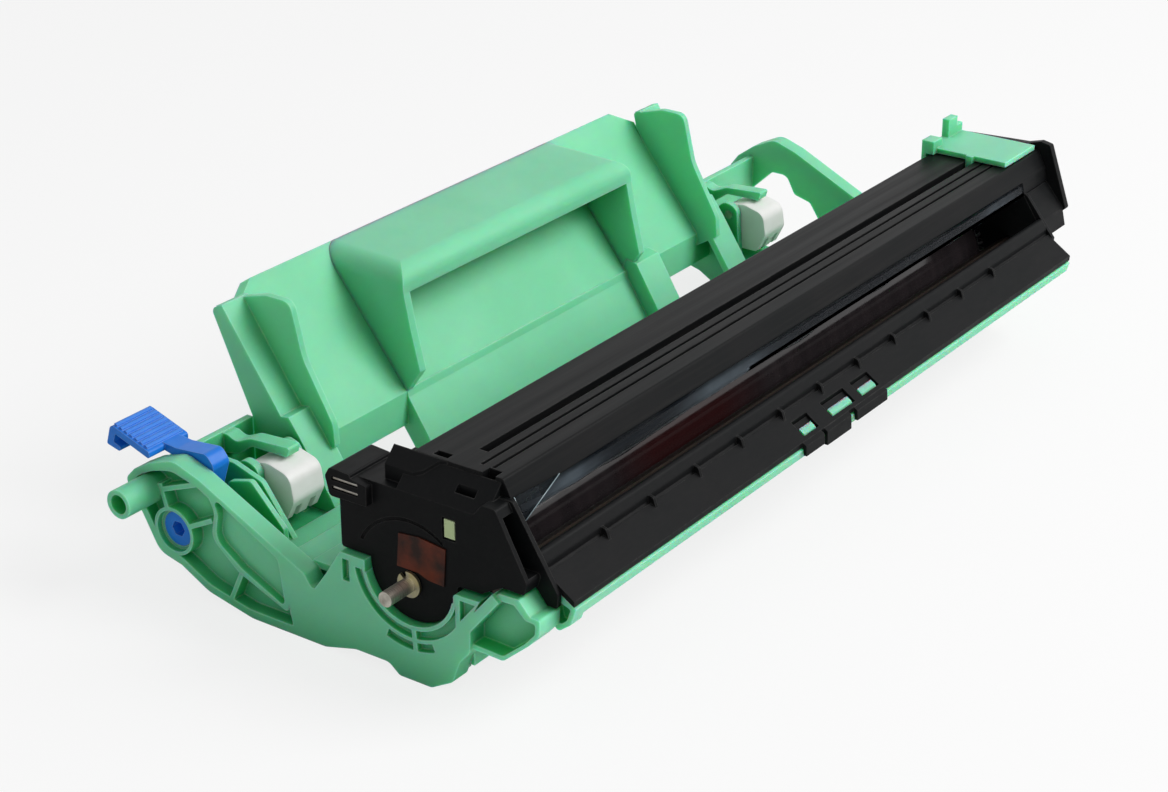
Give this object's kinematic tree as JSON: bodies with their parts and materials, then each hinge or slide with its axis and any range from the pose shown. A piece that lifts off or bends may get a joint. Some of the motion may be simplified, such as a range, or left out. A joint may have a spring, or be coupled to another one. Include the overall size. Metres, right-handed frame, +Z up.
{
  "type": "printer drum unit",
  "caption": "Green tray with a hooded carrying handle, black charging bar over a light-sensitive drum, ribbed paper guide, wire cleaner tab and blue lock lever.",
  "frame": {"origin": "centre of the bounding box in plan, at the height of the side plates' feet", "axes": "+X along the drum towards the driven end, +Y from the ribbed paper guide towards the carrying handle, +Z up"},
  "size_m": [0.28, 0.1314, 0.0593],
  "materials": {
    "green_frame": "fine spark texture",
    "black_housing": "satin",
    "green_slider": "fine spark texture",
    "blue_lever": "satin",
    "white_slider": "satin",
    "bearing_plastic": "satin",
    "drum_coating": "polished coating on an aluminium tube",
    "clear_film": "thin translucent film",
    "steel_shaft": "ground",
    "steel_sheet": "rolled",
    "bronze_contact": "tarnished",
    "pale_contact": "satin",
    "roller_foam": "foamed",
    "brush_bristle": "bristle"
  },
  "bodies": {
    "frame": {"frame_tray": "green_frame", "handle_panel": "green_frame", "handle_hood": "green_frame", "near_end_cap": "black_housing", "far_end_cap": "black_housing", "corona_housing": "black_housing", "exit_guide": "black_housing", "film_strip": "clear_film", "corona_grid": "steel_sheet", "near_wire_block": "bearing_plastic", "far_wire_block": "bearing_plastic", "charge_wire": "steel_sheet", "drum_shaft": "steel_shaft", "shaft_clip": "steel_sheet", "shaft_contact": "bronze_contact", "grid_contact": "pale_contact", "charge_terminal": "bronze_contact", "near_bearing_spring": "steel_sheet", "far_bearing_spring": "steel_sheet", "drum_brush": "brush_bristle", "brush_plate": "steel_sheet", "near_pusher_pin": "steel_shaft", "far_pusher_pin": "steel_shaft", "near_pusher_spring": "steel_sheet", "far_pusher_spring": "steel_sheet"},
    "drum": {"opc_drum": "drum_coating", "near_flange": "bearing_plastic", "drum_gear": "bearing_plastic"},
    "roller_bearings": {"near_roller_bearing": "black_housing", "far_roller_bearing": "black_housing"},
    "transfer_roller": {"transfer_foam": "roller_foam", "transfer_shaft": "steel_shaft", "transfer_gear": "bearing_plastic"},
    "cleaner": {"wire_cleaner": "green_slider"},
    "lever": {"lock_lever": "blue_lever"},
    "near_push_block": {"near_pusher": "white_slider"},
    "far_push_block": {"far_pusher": "white_slider"}
  },
  "joints": [
    {"name": "drum_spin", "type": "hinge", "parent": "frame", "child": "drum", "pos_m": [0.005, -0.02516, 0.0232], "axis": [1, 0, 0], "continuous": true},
    {"name": "roller_press", "type": "slide", "parent": "frame", "child": "roller_bearings", "axis": [0, 0, 1], "range_m": [-0.0004, 0], "stiffness_N_per_m": 900, "springref_m": 0.002, "deforming": ["near_bearing_spring", "far_bearing_spring"]},
    {"name": "transfer_spin", "type": "hinge", "parent": "roller_bearings", "child": "transfer_roller", "pos_m": [0.005, -0.03396, 0.00796], "axis": [1, 0, 0], "continuous": true},
    {"name": "cleaner_slide", "type": "slide", "parent": "frame", "child": "cleaner", "axis": [-1, 0, 0], "range_m": [0, 0.215]},
    {"name": "lever_turn", "type": "hinge", "parent": "frame", "child": "lever", "pos_m": [-0.122, 0.04434, 0.0155], "axis": [1, 0, 0], "range_deg": [0, 16]},
    {"name": "near_push", "type": "hinge", "parent": "frame", "child": "near_push_block", "pos_m": [-0.104, 0.03644, 0.025], "axis": [1, 0, 0], "range_deg": [0, 9], "stiffness_Nm_per_rad": 0.02, "springref_deg": -20.05, "deforming": ["near_pusher_spring"]},
    {"name": "far_push", "type": "hinge", "parent": "frame", "child": "far_push_block", "pos_m": [0.107, 0.03644, 0.025], "axis": [1, 0, 0], "range_deg": [0, 9], "stiffness_Nm_per_rad": 0.02, "springref_deg": -20.05, "deforming": ["far_pusher_spring"]}
  ],
  "couplings": [
    {"joint": "transfer_spin", "follows": "drum_spin", "ratio": -1.75}
  ]
}
